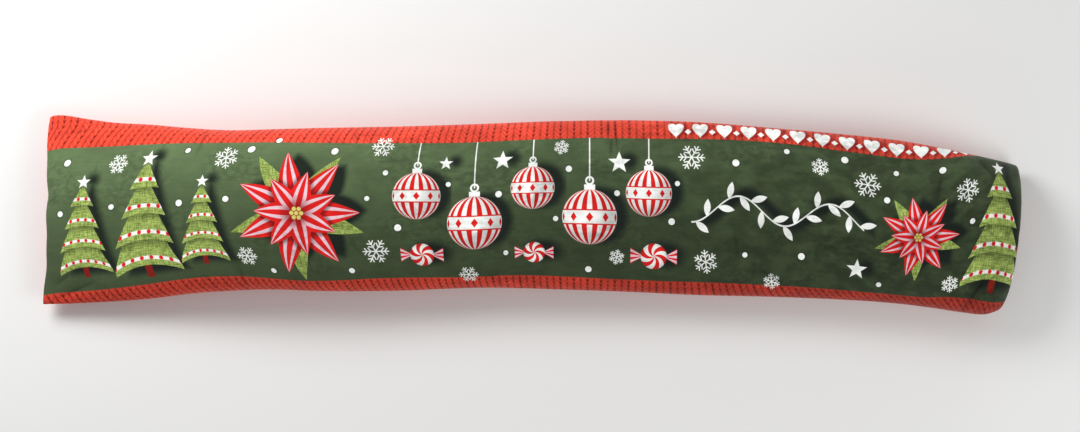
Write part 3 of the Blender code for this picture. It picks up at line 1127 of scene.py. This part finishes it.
def pile_tone_and_shade(place, u, v):
    """How light the print looks at each point, from the pile's uneven tone and from painted shade
    in creases and along the back seam, and how far its grain stands out.
    """
    pile = noise(place, (0.022, 0.036), 3.0)
    crush = noise(place, (0.07, 0.11), 3.0)
    ruffled = ramp(noise(place, (0.013, 0.021)), 0.48, 0.64)
    flecks = ramp(noise(place, (0.15, 0.22), 3.0), 0.36, 0.62, 0.84, 1.08)
    slub = noise(place, (0.03, 0.8), 2.0)
    grain = noise(place, (1.6, 1.9), 1.0)
    mottle = ramp(pile, 0.3, 0.7, 0.88, 1.1) * ramp(crush, 0.36, 0.6, 0.92, 1.05)
    tone = (mottle - 1.0) * ramp(u, *PILE_UNREST) + 1.0
    tone = tone * ramp(slub, 0.3, 0.7, 0.97, 1.03) * ramp(grain, 0.2, 0.8, 0.91, 1.09)
    tone = tone * (ruffled * (flecks - 1.0) + 1.0)
    brushed_and_painted_shade = add_node("ShaderNodeAttribute", {}, attribute_name="brushed_and_painted_shade")
    return tone * Wire(brushed_and_painted_shade.outputs["Fac"]) * painted_crease_shade(v), grain + slub


def new_material(name, finish):
    """A material whose shader's sockets are set to the same values all over."""
    material = bpy.data.materials.new(name)
    material.use_nodes = True
    shader = material.node_tree.nodes["Principled BSDF"]
    for socket, value in finish.items():
        shader.inputs[socket].default_value = value
    return material


def printed_cloth():
    """Short-pile cloth with the whole print."""
    material = new_material("printed_cloth", CLOTH_FINISH)
    Wire.tree = material.node_tree
    shader = Wire.tree.nodes["Principled BSDF"]
    flat = Wire(add_node("ShaderNodeUVMap", {}, uv_map="flat_cloth").outputs[0])
    place = scaled(flat, 1 / MM)
    u, v = parts_of(place)[:2]
    colour = draw_print(place, u, v)
    tone, relief = pile_tone_and_shade(place, u, v)
    Wire.tree.links.new(scaled(colour, tone).socket, shader.inputs["Base Color"])
    feeds = {"Strength": GRAIN_STRENGTH, "Distance": GRAIN_HEIGHT, "Height": relief}
    bump = add_node("ShaderNodeBump", feeds)
    Wire.tree.links.new(bump.outputs[0], shader.inputs["Normal"])
    return material


def make_camera():
    """Straight above the printed face, with the far edge at the top of the picture."""
    lens = bpy.data.cameras.new("camera")
    lens.lens = CAMERA_LENS
    lens.sensor_width = CAMERA_SENSOR
    camera = bpy.data.objects.new("camera", lens)
    seen = PHOTO_WIDTH_PX * PHOTO_MM_PER_PX
    height = SILHOUETTE_HEIGHT + seen * CAMERA_LENS / CAMERA_SENSOR
    camera.location = Vector((*CAMERA_OVER, height)) * MM
    bpy.context.scene.collection.objects.link(camera)
    bpy.context.scene.camera = camera


def add_light(light):
    """A white rectangle of light that faces its target."""
    lamp = bpy.data.lights.new(light.name, "AREA")
    lamp.shape = "RECTANGLE"
    lamp.size, lamp.size_y = light.size
    lamp.energy = light.power
    holder = bpy.data.objects.new(light.name, lamp)
    holder.location = light.place
    way = Vector(light.target) - Vector(light.place)
    holder.rotation_euler = way.to_track_quat("-Z", "Y").to_euler()
    bpy.context.scene.collection.objects.link(holder)


def make_floor():
    """The pale floor that the tube lies on, which is not part of the model."""
    bpy.ops.mesh.primitive_plane_add(size=FLOOR_WIDTH, location=(0.0, 0.0, 0.0))
    floor = bpy.context.object
    floor.name = "floor"
    floor.data.materials.append(new_material("pale_floor", FLOOR_FINISH))


def make_studio():
    """The floor, a pale sky all round, four lights and the picture's contrast."""
    make_floor()
    world = bpy.data.worlds.new("studio")
    world.use_nodes = True
    sky = world.node_tree.nodes["Background"]
    sky.inputs["Color"].default_value = SKY_COLOUR
    sky.inputs["Strength"].default_value = SKY_STRENGTH
    scene = bpy.context.scene
    scene.world = world
    for light in LIGHTS:
        add_light(light)
    scene.view_settings.view_transform = "Standard"
    scene.view_settings.look = "Medium High Contrast"


def dress():
    """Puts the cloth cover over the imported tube."""
    cover = make_cover()
    cover.data.materials.clear()
    cover.data.materials.append(printed_cloth())
    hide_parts(TUBE)
    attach(cover, "root")


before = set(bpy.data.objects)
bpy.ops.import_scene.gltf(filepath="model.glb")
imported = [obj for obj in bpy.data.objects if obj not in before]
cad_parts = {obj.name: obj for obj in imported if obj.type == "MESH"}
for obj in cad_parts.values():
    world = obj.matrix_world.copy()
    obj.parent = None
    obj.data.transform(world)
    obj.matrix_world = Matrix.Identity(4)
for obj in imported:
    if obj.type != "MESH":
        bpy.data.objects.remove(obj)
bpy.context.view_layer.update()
make_camera()
make_studio()
dress()
